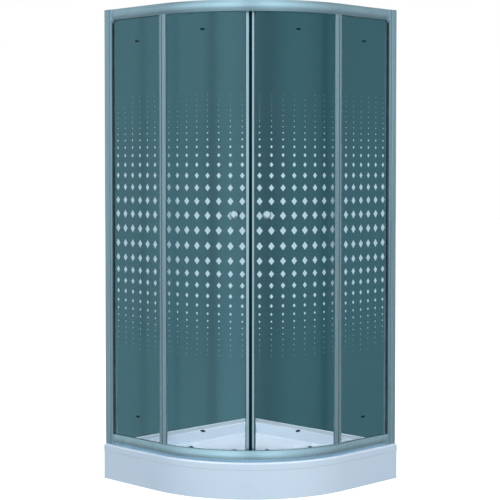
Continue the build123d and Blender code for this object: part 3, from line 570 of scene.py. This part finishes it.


# the left card glows brighter than the right: painted shade, the right wall is drawn darker
card("card_left", [(-0.453, -0.438, 0.151), (-0.453, 0.453, 0.151), (-0.453, 0.453, 2.30), (-0.453, -0.438, 2.30)],
     (0.113, 0.243, 0.286), 1, [(0.200, 0.035, 0.80), (-0.221, 0.030, 0.84), (0.32, 0.08, 1.12)])
card("card_right", [(-0.453, 0.453, 0.151), (0.438, 0.453, 0.151), (0.438, 0.453, 2.30), (-0.453, 0.453, 2.30)],
     (0.074, 0.186, 0.224), 0, [(-0.33, 0.08, 0.80), (0.03, 0.05, 0.84), (-0.15, 0.10, 1.06)])


def area(name, loc, target, size, power, color=(1, 1, 1), spread=180):
    li = bpy.data.lights.new(name, "AREA")
    li.shape = "RECTANGLE"
    li.size, li.size_y = size
    li.energy = power
    li.color = color
    li.spread = math.radians(spread)
    ob = bpy.data.objects.new(name, li)
    ob.location = loc
    ob.rotation_mode = "QUATERNION"
    ob.rotation_quaternion = (Vector(target) - Vector(loc)).to_track_quat("-Z", "Y")
    bpy.context.scene.collection.objects.link(ob)
    return ob


key = area("key", (3.8, -2.75, 2.6), (0.12, -0.08, 0.7), (2.2, 2.2), 73)
key.visible_glossy = key.visible_transmission = False
top = area("top", (-0.05, 0.05, 3.6), (-0.05, 0.05, 0.0), (1.1, 1.1), 6, color=(1.0, 0.86, 0.78), spread=50)
top.visible_glossy = top.visible_transmission = False

for name, loc, aim, power in (("side_right", (4.4, 2.4, 1.6), (0.45, -0.1, 0.6), 29), ("side_left", (-2.4, -4.4, 1.6), (0.1, -0.45, 0.6), 24)):
    fill = area(name, loc, aim, (1.5, 1.5), power)
    fill.visible_glossy = fill.visible_transmission = False
basin = area("basin", (0.10, -0.10, 1.20), (-0.20, 0.20, 0.10), (0.3, 0.3), 4.2, color=(1.0, 0.74, 0.68), spread=90)
basin.visible_camera = basin.visible_glossy = basin.visible_transmission = False

world = bpy.data.worlds.new("studio")
bpy.context.scene.world = world
world.use_nodes = True
wn = world.node_tree
bg = wn.nodes["Background"]
tc = wn.nodes.new("ShaderNodeTexCoord")
sep = wn.nodes.new("ShaderNodeSeparateXYZ")
wn.links.new(tc.outputs["Generated"], sep.inputs[0])
ramp = wn.nodes.new("ShaderNodeValToRGB")
e = ramp.color_ramp.elements
e[0].position, e[0].color = 0.0, (0.17, 0.18, 0.185, 1)
e[1].position, e[1].color = 1.0, (0.65, 0.74, 0.76, 1)
for place, v in ((0.36, 0.46), (0.48, 0.73), (0.53, 0.84), (0.66, 0.93), (0.82, 0.62)):
    ramp.color_ramp.elements.new(place).color = (0.88 * v, v, 1.03 * v, 1)
# light and dark sides of the studio, by direction round the vertical: 0.5 is towards the front
turn = wn.nodes.new("ShaderNodeMapping")
turn.inputs["Rotation"].default_value = (0, 0, math.radians(45))
wn.links.new(tc.outputs["Generated"], turn.inputs["Vector"])
flat = wn.nodes.new("ShaderNodeSeparateXYZ")
wn.links.new(turn.outputs["Vector"], flat.inputs[0])
ang = wn.nodes.new("ShaderNodeMath")
ang.operation = "ARCTAN2"
wn.links.new(flat.outputs[1], ang.inputs[0])
wn.links.new(flat.outputs[0], ang.inputs[1])
unit = wn.nodes.new("ShaderNodeMapRange")
unit.inputs["From Min"].default_value, unit.inputs["From Max"].default_value = -math.pi, math.pi
wn.links.new(ang.outputs[0], unit.inputs["Value"])
sides = wn.nodes.new("ShaderNodeValToRGB")
e = sides.color_ramp.elements
e[0].position, e[0].color = 0.0, (0.62, 0.62, 0.62, 1)
e[1].position, e[1].color = 1.0, (0.62, 0.62, 0.62, 1)
for deg, v in ((-110, 0.60), (-84, 0.51), (-60, 0.94), (-40, 1.06), (-27, 1.34), (-9, 1.46), (-5, 0.64), (5, 0.64), (9, 1.42), (26, 1.28), (38, 1.00), (60, 0.74), (84, 0.45), (110, 0.46)):
    sides.color_ramp.elements.new((deg + 180) / 360).color = (v, v, v, 1)
wn.links.new(unit.outputs[0], sides.inputs[0])
both_ways = wn.nodes.new("ShaderNodeMix")
both_ways.data_type = "RGBA"
both_ways.blend_type = "MULTIPLY"
both_ways.inputs[0].default_value = 1.0
wn.links.new(ramp.outputs["Color"], both_ways.inputs[6])
wn.links.new(sides.outputs["Color"], both_ways.inputs[7])
half = wn.nodes.new("ShaderNodeMath")
half.operation = "MULTIPLY_ADD"
half.inputs[1].default_value, half.inputs[2].default_value = 0.5, 0.5
wn.links.new(sep.outputs[2], half.inputs[0])
wn.links.new(half.outputs[0], ramp.inputs[0])
lp = wn.nodes.new("ShaderNodeLightPath")
mix = wn.nodes.new("ShaderNodeMix")
mix.data_type = "RGBA"
# straight through glass the studio is as white as beside it; light that has bounced off a surface sees the ramps
fresh = wn.nodes.new("ShaderNodeMath")
fresh.operation = "LESS_THAN"
wn.links.new(lp.outputs["Diffuse Depth"], fresh.inputs[0])
fresh.inputs[1].default_value = 0.5
through = wn.nodes.new("ShaderNodeMath")
through.operation = "MULTIPLY"
wn.links.new(lp.outputs["Is Transmission Ray"], through.inputs[0])
wn.links.new(fresh.outputs[0], through.inputs[1])
seen = wn.nodes.new("ShaderNodeMath")
seen.operation = "MAXIMUM"
wn.links.new(lp.outputs["Is Camera Ray"], seen.inputs[0])
wn.links.new(through.outputs[0], seen.inputs[1])
wn.links.new(seen.outputs[0], mix.inputs[0])
wn.links.new(both_ways.outputs[2], mix.inputs[6])
mix.inputs[7].default_value = (1.0, 1.0, 1.0, 1)
wn.links.new(mix.outputs[2], bg.inputs["Color"])
bg.inputs["Strength"].default_value = 1.0

bpy.context.scene.view_settings.view_transform = "Standard"
bpy.context.scene.view_settings.look = "None"

# ------------------------------------------------------------------ camera
F_PX, DIST, HEIGHT, PITCH_DOWN = 1417.49, 6.1196, 1.3488, math.radians(2.1217)
cam_data = bpy.data.cameras.new("camera")
cam = bpy.data.objects.new("camera", cam_data)
bpy.context.scene.collection.objects.link(cam)
cam_data.sensor_width = 36.0
cam_data.lens = F_PX / 500 * 36.0
cam_data.shift_x, cam_data.shift_y = -0.001, -0.06
cam_data.clip_start, cam_data.clip_end = 0.05, 100
cam.location = (DIST / math.sqrt(2), -DIST / math.sqrt(2), HEIGHT)
look = Vector((-math.cos(PITCH_DOWN) / math.sqrt(2), math.cos(PITCH_DOWN) / math.sqrt(2), -math.sin(PITCH_DOWN)))
cam.rotation_mode = "QUATERNION"
cam.rotation_quaternion = look.to_track_quat("-Z", "Y")
bpy.context.scene.camera = cam

low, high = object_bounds()
